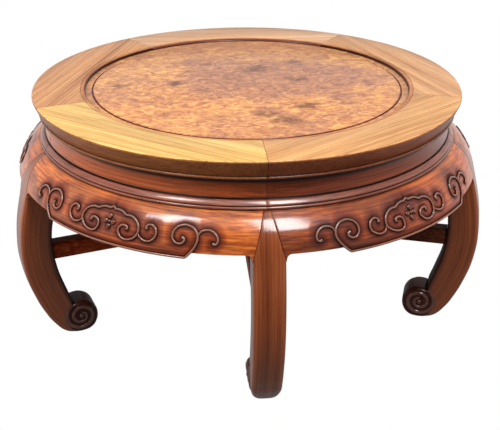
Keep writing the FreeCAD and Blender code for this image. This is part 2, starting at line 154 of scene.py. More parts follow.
def bead(bm, path, thicknesses):
    """A round bead along a path of points, thicker or thinner along the way, half sunk in its ground."""
    curve = bpy.data.curves.new("bead", "CURVE")
    curve.dimensions = "3D"
    curve.bevel_depth = 1
    curve.bevel_resolution = 4
    curve.use_fill_caps = True
    spline = curve.splines.new("POLY")
    spline.points.add(len(path) - 1)
    for knot, point, thickness in zip(spline.points, path, thicknesses):
        knot.co = (*point, 1)
        knot.radius = thickness
    carrier = bpy.data.objects.new("bead", curve)
    mesh = bpy.data.meshes.new_from_object(carrier)
    bm.from_mesh(mesh)
    bpy.data.objects.remove(carrier)
    bpy.data.curves.remove(curve)
    bpy.data.meshes.remove(mesh)


def join(bm, other):
    """Add another body to one, with its materials."""
    mesh = bpy.data.meshes.new("other")
    other.to_mesh(mesh)
    bm.from_mesh(mesh)
    other.free()
    bpy.data.meshes.remove(mesh)


def flattened_ball(bm, place, size):
    """A small carved boss: a ball squeezed to a size, set at a place with its own axes."""
    squeeze = Matrix.Diagonal((*size, 1))
    bmesh.ops.create_uvsphere(bm, u_segments=16, v_segments=10, radius=1, matrix=place @ squeeze)


def set_up(name, bm, turn, materials, slot, *replaced):
    """Turn a finished piece to its place round the table, and join it to the frame."""
    piece_bm = bm.copy()
    piece_bm.transform(Matrix.Scale(mm, 4) @ Matrix.Rotation(turn, 4, "Z"))
    mesh = bpy.data.meshes.new(name)
    piece_bm.to_mesh(mesh)
    piece_bm.free()
    mesh.shade_smooth()
    mesh.set_sharp_from_angle(angle=radians(crease_angle))
    for material in materials:
        mesh.materials.append(material)
    piece = bpy.data.objects.new(name, mesh)
    bpy.context.collection.objects.link(piece)
    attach(piece, "root")
    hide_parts(*replaced)


def colour(red, green, blue):
    """A colour as a screen shows it, in the linear values that shaders take."""
    shares = [value / 255 for value in (red, green, blue)]
    return [s / 12.92 if s < 0.04045 else ((s + 0.055) / 1.055) ** 2.4 for s in shares] + [1]


white = colour(255, 255, 255)


def add(tree, kind, settings=None, **sockets):
    """One shader node, with its sockets set or linked by name."""
    node = tree.nodes.new(kind)
    for name, value in (settings or {}).items():
        setattr(node, name, value)
    for name, value in sockets.items():
        socket = node.inputs[name.replace("_", " ")]
        if isinstance(value, bpy.types.NodeSocket):
            tree.links.new(value, socket)
        else:
            socket.default_value = value
    return node


def ramp(tree, value, *stops):
    """A colour ramp: each stop is a position and a colour."""
    node = add(tree, "ShaderNodeValToRGB", Fac=value)
    points = node.color_ramp.elements
    while len(points) < len(stops):
        points.new(0.5)
    for point, (position, tint) in zip(points, stops):
        point.position = position
        point.color = tint
    return node.outputs["Color"]


def stain(tree, tint, shade, share=1.0):
    """One colour laid over another, as a stain darkens wood."""
    node = add(tree, "ShaderNodeMixRGB", {"blend_type": "MULTIPLY"}, Fac=share, Color1=tint, Color2=shade)
    return node.outputs["Color"]


def new_finish(name):
    """An empty material and its node tree."""
    material = bpy.data.materials.new(name)
    material.use_nodes = True
    return material, material.node_tree


def grain_noise(tree, size, turn, detail, seed, distortion=0.0, follow=None):
    """Noise drawn out along the grain, in space or as a piece's own attribute lays it: size is in metres."""
    if follow:
        place = add(tree, "ShaderNodeAttribute", {"attribute_name": follow}).outputs["Vector"]
    else:
        place = add(tree, "ShaderNodeTexCoord").outputs["Object"]
    laid = add(
        tree, "ShaderNodeMapping", {"vector_type": "TEXTURE"},
        Vector=place, Location=(seed, 0.3 * seed, 0.7 * seed), Rotation=(0, 0, turn), Scale=size,
    )
    noise = add(
        tree, "ShaderNodeTexNoise", Vector=laid.outputs["Vector"], Scale=1, Detail=detail,
        Roughness=0.6, Distortion=distortion,
    )
    return noise.outputs["Fac"]


def straight_grain(tree, dark, middle, pale, turn=0, seed=0, deep=1, follow=None):
    """Tint of straight grain, and its pores: slow bands, fine lines and short dark dashes.

    A mark goes deep times as far into the board as it is wide.
    """
    def marks(run, width, detail, more):
        return grain_noise(tree, (run, deep * width, width), turn, detail, seed + more, follow=follow)

    bands = marks(run=0.7, width=0.03, detail=2, more=0)
    lines = marks(run=0.5, width=0.003, detail=3, more=2)
    pores = marks(run=0.07, width=0.0012, detail=2, more=4)
    tint = ramp(tree, lines, (0.30, dark), (0.5, middle), (0.70, pale))
    toned = stain(tree, tint, ramp(tree, bands, (0.33, colour(222, 212, 206)), (0.66, white)))
    dashes = ramp(tree, pores, (0.32, colour(150, 125, 112)), (0.47, white))
    return stain(tree, toned, dashes, 0.5), pores


def polish(tree, tint, pores, gloss=0.3, coat=0.35, dull=None, shine=0.18):
    """Polished wood: painted shade in the corners, open pores, and a thin old coat that dull places lack."""
    corners = add(tree, "ShaderNodeAmbientOcclusion", {"samples": 6}, Distance=corner_shade_reach * mm)
    # Painted shade: the colour is darkened where ambient occlusion finds corners and hollows.
    painted_shade = ramp(tree, corners.outputs["AO"], (0.35, colour(40, 24, 18)), (0.85, white))
    roughness = add(tree, "ShaderNodeMapRange", Value=pores, To_Min=gloss + 0.08, To_Max=gloss - 0.04)
    bump = add(tree, "ShaderNodeBump", Strength=0.2, Distance=pore_depth * mm, Height=pores)
    shader = tree.nodes["Principled BSDF"]
    tree.links.new(stain(tree, tint, painted_shade), shader.inputs["Base Color"])
    tree.links.new(roughness.outputs["Result"], shader.inputs["Roughness"])
    if dull:
        fading = {"Value": dull, "From_Min": 0.55, "From_Max": 0.85}
        matt = add(
            tree, "ShaderNodeMapRange", To_Min=roughness.outputs["Result"], To_Max=matt_roughness, **fading
        )
        coated = add(tree, "ShaderNodeMapRange", To_Min=coat, To_Max=0, **fading)
        tree.links.new(matt.outputs["Result"], shader.inputs["Roughness"])
        tree.links.new(coated.outputs["Result"], shader.inputs["Coat Weight"])
    tree.links.new(bump.outputs["Normal"], shader.inputs["Normal"])
    shader.inputs["Specular IOR Level"].default_value = shine
    shader.inputs["Coat Weight"].default_value = coat
    shader.inputs["Coat Roughness"].default_value = coat_roughness


def straight_wood(name, dark, middle, pale, gloss=0.3, coat=0.35, shine=0.18, **grain):
    """Straight-grained hardwood in three shades, polished."""
    material, tree = new_finish(name)
    tint, pores = straight_grain(tree, dark, middle, pale, **grain)
    polish(tree, tint, pores, gloss=gloss, coat=coat, shine=shine)
    return material


def leg_half_width(height, sole=sole_round):
    """Half the width of a leg: a wedge between the aprons, straight below, round at the sole."""
    if height > shoulder_foot:
        share = (height - shoulder_foot) / (apron_top - shoulder_foot)
        return leg_half + (shoulder_tip_half - leg_half) * share
    wide, tall, start = sole
    rise = within((height - start) / tall)
    return leg_half - wide + wide * sqrt(1 - (1 - rise) ** 2)


def leg_ring(outer, inner, sole):
    """One section of a leg, as points and how far out they are: its face follows the round table."""
    out, back = Vector((outer[0], 0, outer[1])), Vector((inner[0], 0, inner[1]))
    depth = (out - back).length
    eased = within((shoulder_foot - outer[1]) / edge_run)
    corner = seam_edge + (leg_edge - seam_edge) * eased
    turns = [radians(90 * step / corner_steps) for step in range(corner_steps + 1)]
    inner_corner = [(corner * (1 - cos(t)), corner * (1 - sin(t))) for t in turns]
    outer_corner = [(depth - away, inset) for away, inset in reversed(inner_corner)]
    half_ring = [(away, inset, 1) for away, inset in inner_corner + outer_corner]
    face = [(depth, corner, share) for share in face_shares]
    other_half = [(away, inset, -1) for away, inset, share in reversed(half_ring)]
    ring = []
    for away, inset, share in half_ring + face + other_half:
        point = back.lerp(out, away / depth)
        point.y = share * (leg_half_width(point.z, sole) - inset)
        point.x -= away / depth * (out.x - sqrt(out.x ** 2 - point.y ** 2))
        ring.append((point, away / depth))
    return ring


def spiral_path(side):
    """The carved ridge on one face of a scroll: its points, and its thickness along the way."""
    path, thicknesses = [], []
    for step in range(spiral_steps + 1):
        share = step / spiral_steps
        angle = radians(spiral_first) + 2 * pi * spiral_turns * share
        radius = spiral_start + (spiral_end - spiral_start) * share
        over = max(radius + scroll_rim - scroll_reach, 0)
        thickness = spiral_thick + (spiral_thin - spiral_thick) * share
        ground = foot_half - scroll_ground - scroll_rim + sqrt(scroll_rim ** 2 - over ** 2)
        out = side * (ground - spiral_sink * thickness)
        path.append((scroll_eye[0] + radius * sin(angle), out, scroll_eye[1] + radius * cos(angle)))
        thicknesses.append(thickness)
    return path, thicknesses


def scroll(sole):
    """The rolled end of a foot: a disc with a rounded rim, and a spiral with its eye on each face."""
    bm = bmesh.new()
    faces = slab(bm, smooth_line(scroll_outline, 6, closed=True), foot_half - scroll_ground)
    bmesh.ops.bevel(
        bm, geom=[edge for face in faces for edge in face.edges], offset=scroll_rim, offset_type="OFFSET",
        segments=9, profile=0.5, affect="EDGES", material=-1,
    )
    carving = bmesh.new()
    for side in (-1, 1):
        bead(carving, *spiral_path(side))
        eye = Matrix.Translation((scroll_eye[0], side * (foot_half - scroll_ground), scroll_eye[1]))
        flattened_ball(carving, eye, eye_size)
    for material, part in ((1, bm), (2, carving)):
        for face in part.faces:
            face.material_index = material
    join(bm, carving)
    for vertex in bm.verts:
        vertex.co.y *= leg_half_width(vertex.co.z, sole) / leg_half
    return bm


outer_points = smooth_line(outer_sweep, 8)
inner_points = smooth_line(inner_sweep, 8)


def leg_body(sole):
    """One whole leg, with the run of its grain and how far out it is laid down for its finish."""
    bm = bmesh.new()
    rings = [leg_ring(outer, inner, sole) for outer, inner in zip(outer_points, inner_points)]
    loft(bm, [[point for point, outward in ring] for ring in rings])
    grain_layer = bm.verts.layers.float_vector.new("grain")
    outward_layer = bm.verts.layers.float.new("outward")
    bm.verts.ensure_lookup_table()
    middle = len(rings[0]) // 2
    along = 0
    for index, ring in enumerate(rings):
        along += (ring[middle][0] - rings[max(index - 1, 0)][middle][0]).length
        across = [0]
        for before, after in zip(ring, ring[1:]):
            across.append(across[-1] + (after[0] - before[0]).length)
        for place, (point, outward) in enumerate(ring):
            vertex = bm.verts[index * len(ring) + place]
            vertex[grain_layer] = (mm * along, mm * (across[place] - across[middle]), 0)
            vertex[outward_layer] = outward
    slab(bm, back_block, leg_half)
    slab(bm, post, post_half)
    join(bm, scroll(sole))
    bmesh.ops.recalc_face_normals(bm, faces=bm.faces)
    return bm


def leg_finish(name):
    """Leg wood with painted shade along the inside, which is also left matt where no cloth polishes it."""
    material, tree = new_finish(name)
    tint, pores = straight_grain(
        tree, colour(93, 42, 18), colour(110, 54, 25), colour(127, 67, 32), follow="grain"
    )
    outward = add(tree, "ShaderNodeAttribute", {"attribute_name": "outward"}).outputs["Fac"]
    inside_shade_and_matt = add(
        tree, "ShaderNodeMapRange", Value=outward, From_Min=0.03, From_Max=0.2, To_Min=1, To_Max=0
    ).outputs["Result"]
    # Painted shade: the inner faces of the leg are darkened.
    shade = ramp(tree, inside_shade_and_matt, (0, white), (1, colour(112, 84, 74)))
    polish(tree, stain(tree, tint, shade), pores, coat=0.8, dull=inside_shade_and_matt, shine=0.14)
    return material


leg_materials = [
    leg_finish("leg_wood"),
    straight_wood(
        "scroll_wood", colour(36, 13, 8), colour(50, 19, 12), colour(64, 28, 18), gloss=0.32, coat=0.1,
        shine=0.1,
    ),
    # Painted highlight: the spiral's ridges take a paler wood than the scroll, to stand for light caught on
    # them.
    straight_wood(
        "spiral_wood_painted_highlight", colour(70, 42, 34), colour(78, 49, 40), colour(90, 58, 48), gloss=0.24, coat=0.7
    ),
]
for number in sides:
    leg_bm = leg_body(front_sole_round if number == front_leg else sole_round)
    set_up(
        f"scroll_leg_{number}", leg_bm, leg_turn(number), leg_materials, "leg_wood", f"leg_{number}"
    )
    leg_bm.free()

# Stretchers and hub
# Plain square bars with rounded edges, tenoned into the legs and into a round block under the middle.
# They are seen only in the shade, dull from handling, and one bar is darker than the rest.
darker_bar = "stretcher_2"
bar_polish = {"gloss": 0.4, "coat": 0.05, "shine": 0.05}
stretcher_wood = straight_wood(
    "stretcher_wood", colour(80, 22, 7), colour(122, 42, 12), colour(150, 74, 32), **bar_polish
)
darker_wood = straight_wood(
    "darker_stretcher_wood", colour(50, 21, 11), colour(72, 33, 19), colour(92, 50, 32), **bar_polish
)
for name in [f"stretcher_{number}" for number in sides] + ["stretcher_hub"]:
    nodes[name].material_slots[0].material = darker_wood if name == darker_bar else stretcher_wood

# Aprons
# Five bulging hardwood boards fitted between the legs' shoulders, with a raised bead along the lower edge
# that runs up into scrolls, and a scrolled cloud with a four-petalled flower carved in the middle. On one
# board the carver set the scrolls and the cloud out off its middle.
cusp_place = 148           # middle of the apron to the step in its lower edge
cusp_run = 8
apron_end_rise = 10
corner_round = 13
apron_wall = 26
carving_radius = 460       # radius on which the carving is laid out
seam_gap = 0.3
seam_sink = 0.8            # the arris along each seam is eased
seam_share = 0.998         # share of a board's half length at which that arris starts
rows, columns = 46, 340
bead_size = 2
bead_lift = 0.2            # of a bead's middle above the face
bead_rise = 2              # of the lowest bead's middle above the lower edge
bead_step = 4
swell_run = 0.2            # share of a scroll over which it swells at either end
cut_depth = 0.7            # the ground is cut down along each bead
cut_reach = 14
petal_lift = 2.5
raised_level = -0.2        # what stands proud is marked from this down to -1 on a bead's worn crest
bead_wear, petal_wear = 0.8, 0.4
odd_apron = 1
even = (255, 255, 255)
browner, warmer = (194, 176, 182), (248, 234, 210)
apron_shades = {number: (even, even) for number in sides}    # the stain at both ends of a board
apron_shades[odd_apron] = (browner, warmer)
stain_run = 200
middle_shift, end_shift = -12, -5  # how far off the middle the odd board is carved
root_height, root_rise = 324, 25   # where the end scrolls grow out of the lower edge
cloud = [
    (0, 379.2), (5, 377), (13, 376.9), (22, 375.8), (31, 372.6), (38, 372.8), (48, 370.8),
    (56.5, 365.6), (60.5, 358.3), (60.5, 351), (56.5, 344.6), (49, 339.4), (39.5, 337),
    (29.5, 338.4), (23.5, 344), (21.6, 350.5), (25.5, 356.4), (32.5, 358.1), (38.5, 356), (38.5, 352.5),
]
small_scroll = [
    (60.5, 351.5), (64.5, 345.8), (72, 342), (80.5, 341.2), (88.5, 344.5), (94, 351.9),
    (93.8, 359.5), (88, 365.2), (80.5, 366.2), (75.5, 363), (76, 359),
]
end_scroll = [
    (149, 324), (153, 328), (160, 336), (166, 346), (168.5, 356), (163, 367), (151, 372), (138, 371.5),
    (128, 366), (124, 357), (127, 349), (135, 345), (143, 347), (145.5, 352), (141, 355),
]
hook = [
    (166.5, 352), (172, 364), (181, 367.5), (193, 366.5), (201, 360), (203, 353), (198.5, 347.5), (194, 349),
]
middle_scrolls = [(cloud, 1, 1.25), (small_scroll, 0.5, 1.3)]
end_scrolls = [(end_scroll, 0.9, 1.3), (hook, 0.5, 1.3)]
flower = [(-8, 358, 5.6, 4.6), (8, 358, 5.6, 4.6), (0, 366, 4.6, 5.2), (0, 350, 4.6, 5.2), (0, 358, 3, 3)]


def side_turn(number):
    """Middle of the side between one leg and the next."""
    return leg_turn(number) + sector / 2


def side_grain(number):
    """Direction of the grain in a board that lies along that side."""
    return side_turn(number) + pi / 2


sweep_heights = [height for reach, height in reversed(outer_points)]
sweep_reaches = [reach for reach, height in reversed(outer_points)]


def bulge(height):
    """Radius of the outer face of aprons and shoulders at a height."""
    after = min(max(bisect.bisect(sweep_heights, height), 1), len(sweep_heights) - 1)
    low, high = sweep_heights[after - 1], sweep_heights[after]
    share = (height - low) / (high - low)
    return sweep_reaches[after - 1] + (sweep_reaches[after] - sweep_reaches[after - 1]) * share


def apron_end(height, radius):
    """Angle from the middle of a side at which its apron meets the leg's pointed shoulder."""
    return sector / 2 - asin((leg_half_width(height) + seam_gap) / radius)


apron_end_run = carving_radius * apron_end(shoulder_foot, bulge(shoulder_foot))


def lower_edge(run):
    """Height of the apron's lower edge at a distance from its middle."""
    away = abs(run)
    step = within((away - cusp_place) / cusp_run)
    into_corner = min(max(away - apron_end_run + corner_round, 0), corner_round)
    drop = corner_round - sqrt(corner_round ** 2 - into_corner ** 2)
    return apron_bottom + apron_end_rise * sqrt(step) - drop


def on_apron(run, height, lift):
    """A point on the apron's face, raised by a lift."""
    radius = bulge(height) + lift
    return Vector((radius * cos(run / carving_radius), radius * sin(run / carving_radius), height))


def apron_axes(run, height):
    """Place on the apron's face with axes that point outwards, along it and up it."""
    along = (on_apron(run + 1, height, 0) - on_apron(run - 1, height, 0)).normalized()
    up = (on_apron(run, height + 1, 0) - on_apron(run, height - 1, 0)).normalized()
    turned = Matrix((along.cross(up), along, up)).transposed().to_4x4()
    return Matrix.Translation(on_apron(run, height, 0)) @ turned


def swelling(share, first, last):
    """Thickness along a scroll: it starts at its own share of the bead and swells at its tip."""
    start = first + (1 - first) * min(share / swell_run, 1)
    return bead_size * (start + (last - 1) * max(share - (1 - swell_run), 0) / swell_run)


edge_bead = [(run, lower_edge(run) + bead_rise) for run in range(-cusp_place, cusp_place + 1, bead_step)]
# A board's section, in shares of its wall inwards and of its height downwards.
outer_face = [(0, row / rows) for row in range(rows - 1)]
lower_corner = [(0, 1 - 0.6 / rows), (0.025, 1 - 0.15 / rows), (0.08, 1), (0.95, 1)]
inner_face = [(1, 1 - 0.5 / rows)] + [(1, step / 5) for step in (4, 3, 2, 1, 0)]
face_share = 0.02          # up to this share of the wall a point is on the carved face
section_reach = 2          # radius, in shares, at which the section is spun


def set_out(scrolls, shift):
    """Pairs of scrolls, as points with their thickness, set out at a shift from the board's middle."""
    lines = []
    for points, first, last in scrolls:
        line = smooth_line(points, 6)
        for mirror in (-1, 1):
            carved = []
            for step, (run, height) in enumerate(line):
                rooted = within((height - root_height) / root_rise)
                place = (mirror * run + rooted * shift, height)
                carved.append((place, swelling(step / (len(line) - 1), first, last)))
            lines.append(carved)
    return lines


def search_tree(points):
    """Points on a board, ready for the nearest of them to be found."""
    finder = KDTree(len(points))
    for index, (run, height) in enumerate(points):
        finder.insert((run, height, 0), index)
    finder.balance()
    return finder


def spun_section(outline, angle, steps):
    """A solid turned from a section about the table's axis, over an angle with its middle along +X."""
    bm = bmesh.new()
    corners = [bm.verts.new((radius, 0, height)) for radius, height in outline]
    section = bm.faces.new(corners)
    bmesh.ops.rotate(bm, verts=corners, cent=(0, 0, 0), matrix=Matrix.Rotation(-angle / 2, 3, "Z"))
    bmesh.ops.spin(
        bm, geom=[section], cent=(0, 0, 0), axis=(0, 0, 1), dvec=(0, 0, 0),
        angle=angle, steps=steps, use_merge=False,
    )
    return bm


def carved_board(middle, ends):
    """An apron: a section spun over one side, bulged and cut down along its beads and its flower."""
    lines = set_out(middle_scrolls, middle) + set_out(end_scrolls, ends)
    lines.append([(point, bead_size) for point in edge_bead])
    petals = [(run + middle, height, wide, tall) for run, height, wide, tall in flower]
    carved_points = [point for carved in lines for point, thickness in carved]
    near_carving = search_tree(carved_points + [(run, height) for run, height, wide, tall in petals])
    section = [(section_reach - share, -drop) for share, drop in outer_face + lower_corner + inner_face]
    bm = spun_section(section, sector, columns)
    carved_layer = bm.verts.layers.float.new("carved")
    for vertex in bm.verts:
        share, drop = section_reach - vertex.co.xy.length, -vertex.co.z
        turn = -Vector((1, 0)).angle_signed(vertex.co.xy, 0) / (sector / 2)
        run = carving_radius * turn * apron_end(apron_bottom, bulge(apron_bottom))
        height = apron_top - drop * (apron_top - lower_edge(run))
        radius = bulge(height) - share * apron_wall
        angle = turn * apron_end(height, bulge(height))
        if share < face_share:
            distance = near_carving.find((carving_radius * angle, height, 0))[2]
            vertex[carved_layer] = within(1 - (distance - bead_size) / cut_reach)
            radius -= cut_depth * vertex[carved_layer]
            if abs(turn) > seam_share:
                vertex[carved_layer] = 1
                radius -= seam_sink
        vertex.co = (radius * cos(angle), radius * sin(angle), height)
    plain_count = len(bm.verts)
    for carved in lines:
        path = [on_apron(run, height, bead_lift) for (run, height), thickness in carved]
        bead(bm, path, [thickness for point, thickness in carved])
    bead_count = len(bm.verts)
    for run, height, wide, tall in petals:
        flattened_ball(bm, apron_axes(run, height), (petal_lift, wide, tall))
    bm.verts.index_update()
    bm.verts.ensure_lookup_table()
    for vertex in bm.verts[plain_count:]:
        lift = vertex.co.xy.length - bulge(vertex.co.z)
        on_bead = vertex.index < bead_count
        crest, wear = (bead_size, bead_wear) if on_bead else (petal_lift, petal_wear)
        vertex[carved_layer] = raised_level - wear * within(lift / crest)
    bmesh.ops.recalc_face_normals(bm, faces=bm.faces)
    return bm


def carved_wood(name, shades, turn, seed):
    """Apron wood: the ground is dark along the carving, painted shade darkens the beads' flanks, and the
    carving's crests are worn pale.
    """
    material, tree = new_finish(name)
    tint, pores = straight_grain(
        tree, colour(104, 49, 22), colour(150, 84, 40), colour(186, 118, 60), turn=turn, seed=seed, deep=7
    )
    laid = add(
        tree, "ShaderNodeMapping", {"vector_type": "TEXTURE"}, Rotation=(0, 0, turn),
        Vector=add(tree, "ShaderNodeTexCoord").outputs["Object"],
    )
    along = add(
        tree, "ShaderNodeMapRange", From_Min=-stain_run * mm, From_Max=stain_run * mm,
        Value=add(tree, "ShaderNodeSeparateXYZ", Vector=laid.outputs["Vector"]).outputs["X"],
    )
    ends = [(position, colour(*shade)) for position, shade in zip((0, 1), shades)]
    tint = stain(tree, tint, ramp(tree, along.outputs["Result"], *ends))
    tone = grain_noise(tree, (0.12, 0.3, 0.04), turn, detail=2, seed=seed + 6)
    tint = stain(tree, tint, ramp(tree, tone, (0.42, colour(255, 226, 172)), (0.6, colour(218, 208, 216))))
    depth = add(tree, "ShaderNodeAttribute", {"attribute_name": "carved"}).outputs["Fac"]
    level = add(tree, "ShaderNodeMapRange", Value=depth, From_Min=-1, From_Max=1).outputs["Result"]
    # Next to the beads the cut ground is dark with patina; the darker stops on the beads' own flanks are
    # painted shade.
    patina_and_flank_shade = ramp(
        tree, level, (0.12, white), (0.27, colour(120, 82, 70)), (0.42, colour(64, 40, 34)), (0.5, white),
        (0.64, colour(222, 200, 200)), (0.8, colour(184, 156, 156)), (0.93, colour(142, 110, 106)),
        (0.985, colour(56, 34, 30)),
    )
    crest = add(tree, "ShaderNodeMapRange", Value=depth, From_Min=-0.7, From_Max=-0.97)
    worn = add(
        tree, "ShaderNodeMixRGB", Fac=crest.outputs["Result"], Color1=stain(tree, tint, patina_and_flank_shade),
        Color2=colour(100, 66, 54),
    )
    polish(tree, worn.outputs["Color"], pores, gloss=0.42, coat=0.9, dull=depth, shine=0.18)
    return material


even_board = carved_board(0, 0)
shifted_board = carved_board(middle_shift, end_shift)
for number in sides:
    apron_wood = carved_wood(f"apron_wood_{number}", apron_shades[number], side_grain(number), number)
    set_up(
        f"carved_apron_{number}", shifted_board if number == odd_apron else even_board, side_turn(number),
        [apron_wood], "polished_wood", f"apron_{number}",
    )
even_board.free()
shifted_board.free()

# Mouldings and waists
# Stepped mouldings sit on the aprons' tongues and carry the waist, a plain hollowed band. Each is sawn in
# five curved lengths of hardwood that are butted above the legs.
band_inner, waist_foot, waist_head = 384.2, 409, 444
waist_seat = 396.4         # radius of the step against which the waist stands
butt_gap = 0.2
length_steps = 90
sharp_angle = 30           # degrees past which an edge is eased
low_bead_reach, low_bead_height, low_bead_round = 408, 394, 3
half_round = [radians(turn) for turn in range(0, 181, 20)]
low_bead = [
    (low_bead_reach + low_bead_round * sin(turn), low_bead_height - low_bead_round * cos(turn))
    for turn in half_round
]
moulding_outline = low_bead + [
    (406.4, 397.4), (408.6, 398), (409.3, 399.2), (408.8, 400.6), (406.1, 403.5), (403.2, 405.9),
    (401.8, 406.6), (400.8, 406.6), (399, 405), (waist_seat, 405), (waist_seat, waist_foot),
    (band_inner, waist_foot), (band_inner, apron_top),
]
waist_shades = {1: (114, 53, 23), 2: (124, 61, 27), 3: (124, 61, 27), 4: (140, 67, 27), 5: (136, 66, 28)}
shadow_low, shadow_high = 434.5, 437    # painted shadow blackens the waist under the overhanging top
shade_left, shade_front = -240, 20      # and it is darker from the left towards the front
waist_face, hollow_deep, hollow_foot, hollow_steps = 400, 3, 0.8, 10
hollow_tall = waist_head - waist_foot - hollow_foot
waist_hollow = []
for step in range(hollow_steps + 1):
    share = step / hollow_steps
    hollow = hollow_deep * sin(pi * share)
    waist_hollow.append((waist_face - hollow, waist_foot + hollow_foot + hollow_tall * share))
waist_outline = waist_hollow + [(band_inner, waist_head), (band_inner, waist_foot), (waist_seat, waist_foot)]


def curved_length(outline, edge):
    """A length of moulding: a section turned about the table's axis over one side, with eased edges."""
    bm = spun_section(outline, sector - 2 * butt_gap / outline[0][0], length_steps)
    bmesh.ops.recalc_face_normals(bm, faces=bm.faces)
    sharp = [part for part in bm.edges if part.calc_face_angle(0) > radians(sharp_angle)]
    bmesh.ops.bevel(
        bm, geom=sharp, offset=edge, offset_type="OFFSET", segments=2, profile=0.5,
        affect="EDGES", material=-1, clamp_overlap=True,
    )
    return bm


def waist_wood(name, shade, turn, seed):
    """Waist wood, blackened by painted shadow under the top, and darker away from the left."""
    material, tree = new_finish(name)
    dark, pale = [colour(*[share * value for value in shade]) for share in (0.78, 1.2)]
    tint, pores = straight_grain(tree, dark, colour(*shade), pale, turn=turn, seed=seed, deep=7)
    place = add(tree, "ShaderNodeSeparateXYZ", Vector=add(tree, "ShaderNodeTexCoord").outputs["Object"])
    rise = add(
        tree, "ShaderNodeMapRange", Value=place.outputs["Z"], From_Min=shadow_low * mm,
        From_Max=shadow_high * mm,
    )
    # Painted shadow under the overhanging top.
    shadow = ramp(tree, rise.outputs["Result"], (0, white), (1, colour(84, 62, 56)))
    forward = add(
        tree, "ShaderNodeMapRange", Value=place.outputs["X"], From_Min=shade_left * mm,
        From_Max=shade_front * mm,
    )
    darker = ramp(tree, forward.outputs["Result"], (0, white), (1, colour(206, 192, 190)))
    polish(tree, stain(tree, stain(tree, tint, shadow), darker), pores, coat=0.6)
    return material


moulding_bm = curved_length(moulding_outline, 0.3)
waist_bm = curved_length(waist_outline, 0.4)
for number in sides:
    moulding_wood = straight_wood(
        f"moulding_wood_{number}", colour(74, 31, 18), colour(102, 49, 30), colour(126, 68, 45),
        turn=side_grain(number), seed=20 + number, deep=7, gloss=0.42, coat=0.8, shine=0.4,
    )
    band_wood = waist_wood(f"waist_wood_{number}", waist_shades[number], side_grain(number), 30 + number)
    set_up(
        f"moulding_length_{number}", moulding_bm, side_turn(number), [moulding_wood], "polished_wood",
        f"moulding_{number}",
    )
    set_up(
        f"waist_length_{number}", waist_bm, side_turn(number), [band_wood], "polished_wood",
        f"waist_{number}",
    )
moulding_bm.free()
waist_bm.free()

# Pegs
# Two small round pegs go level through each moulding's lower bead into the apron's tongue, and their ends
# show as dark dots. The pegs that hold the aprons to the legs are driven from inside, out of sight.
peg_turns = (5.8, 10.5)    # degrees from the middle of the side
peg_reach = 409
peg_spot = Matrix.Translation((peg_reach, 0, low_bead_height))
peg_end = (2.5, 2.3, 2.3)
peg_wood = straight_wood("peg_wood", colour(38, 18, 11), colour(54, 28, 18), colour(72, 40, 27))
peg_bm = bmesh.new()
for number in sides:
    for turn in peg_turns:
        round_table = Matrix.Rotation(side_turn(number) + radians(turn), 4, "Z")
        flattened_ball(peg_bm, round_table @ peg_spot, peg_end)
set_up("moulding_peg_ends", peg_bm, 0, [peg_wood], "peg_wood", "moulding_pegs")
peg_bm.free()
nodes["apron_pegs"].material_slots[0].material = peg_wood

# Top frame
# Five curved segments, each sawn with its grain along the side, butted end to end above the legs with a
# loose spline in each joint. The rim leans in to a small bead, and a fine line is cut round the opening.
frame_top, frame_bottom = 482, 444
opening, rim_radius = 319, 420
lip_line = 327
slot_back, slot_low, slot_high = 329, 468.3, 475.7
under_bead_reach, under_bead_height, under_bead_round = 407, 448, 2.5
rim_foot = 404
under_bead = [
    (under_bead_reach + under_bead_round * sin(turn), under_bead_height + under_bead_round * cos(turn))
    for turn in half_round
]
groove = [
    (opening, frame_bottom), (opening, slot_low), (slot_back, slot_low), (slot_back, slot_high),
    (opening, slot_high),
]
crisp_lip = [(opening, frame_top - 2), (opening + 1.5, frame_top - 0.5), (lip_line - 1, frame_top - 0.2)]
worn_lip = [(opening, frame_top - 5), (opening + 2.5, frame_top - 2.4), (lip_line - 1, frame_top - 0.6)]
rim_outline = [
    (lip_line, frame_top - 1.2), (lip_line + 1, frame_top), (rim_radius - 3.5, frame_top),
    (rim_radius - 1, frame_top - 1), (rim_radius, frame_top - 3.5), (408, 451.5),
] + under_bead + [(rim_foot, 445), (rim_foot, frame_bottom)]
worn_segment = 3           # the one at the back, where the lip is rubbed round
frame_shades = {
    1: (170, 127, 81), 2: (168, 125, 85), 3: (177, 140, 106), 4: (162, 116, 76), 5: (180, 147, 86),
}


def from_axis(tree):
    """Distance of a point from the table's upright axis, and its height."""
    place = add(tree, "ShaderNodeSeparateXYZ", Vector=add(tree, "ShaderNodeTexCoord").outputs["Object"])
    flat = add(tree, "ShaderNodeCombineXYZ", X=place.outputs["X"], Y=place.outputs["Y"])
    away = add(tree, "ShaderNodeVectorMath", {"operation": "LENGTH"})
    tree.links.new(flat.outputs["Vector"], away.inputs[0])
    return away.outputs["Value"], place.outputs["Z"]


